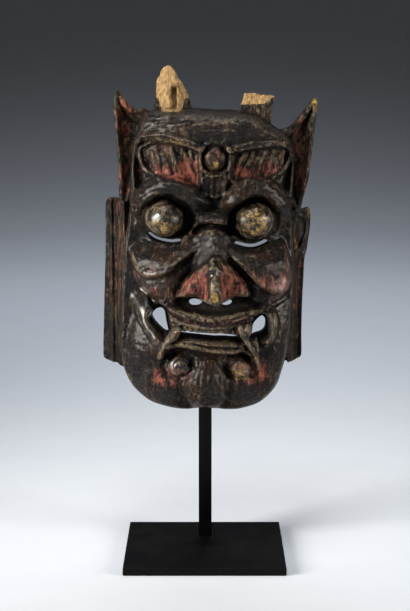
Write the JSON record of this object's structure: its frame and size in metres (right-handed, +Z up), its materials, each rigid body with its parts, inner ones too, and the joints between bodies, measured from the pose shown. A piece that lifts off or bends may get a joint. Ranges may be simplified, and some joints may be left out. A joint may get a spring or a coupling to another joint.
{
  "type": "nuo mask",
  "caption": "Carved and lacquered wooden demon mask for nuo opera, with bulging eyes, fangs, pointed ears and broken horns, on a black steel post and plate.",
  "frame": {"origin": "middle of the underside of the base plate", "axes": "+Z up, +X to the viewer's right, the mask looks along -Y"},
  "size_m": [0.191, 0.1294, 0.4436],
  "materials": {
    "lacquered_wood": "worn dark lacquer with traces of red and gilding",
    "black_steel": "satin black paint",
    "screw_steel": "bright zinc"
  },
  "bodies": {
    "root": {"mask": "lacquered_wood", "stand_post": "black_steel", "base_plate": "black_steel", "mount_screw_left": "screw_steel", "mount_screw_right": "screw_steel"}
  },
  "joints": []
}
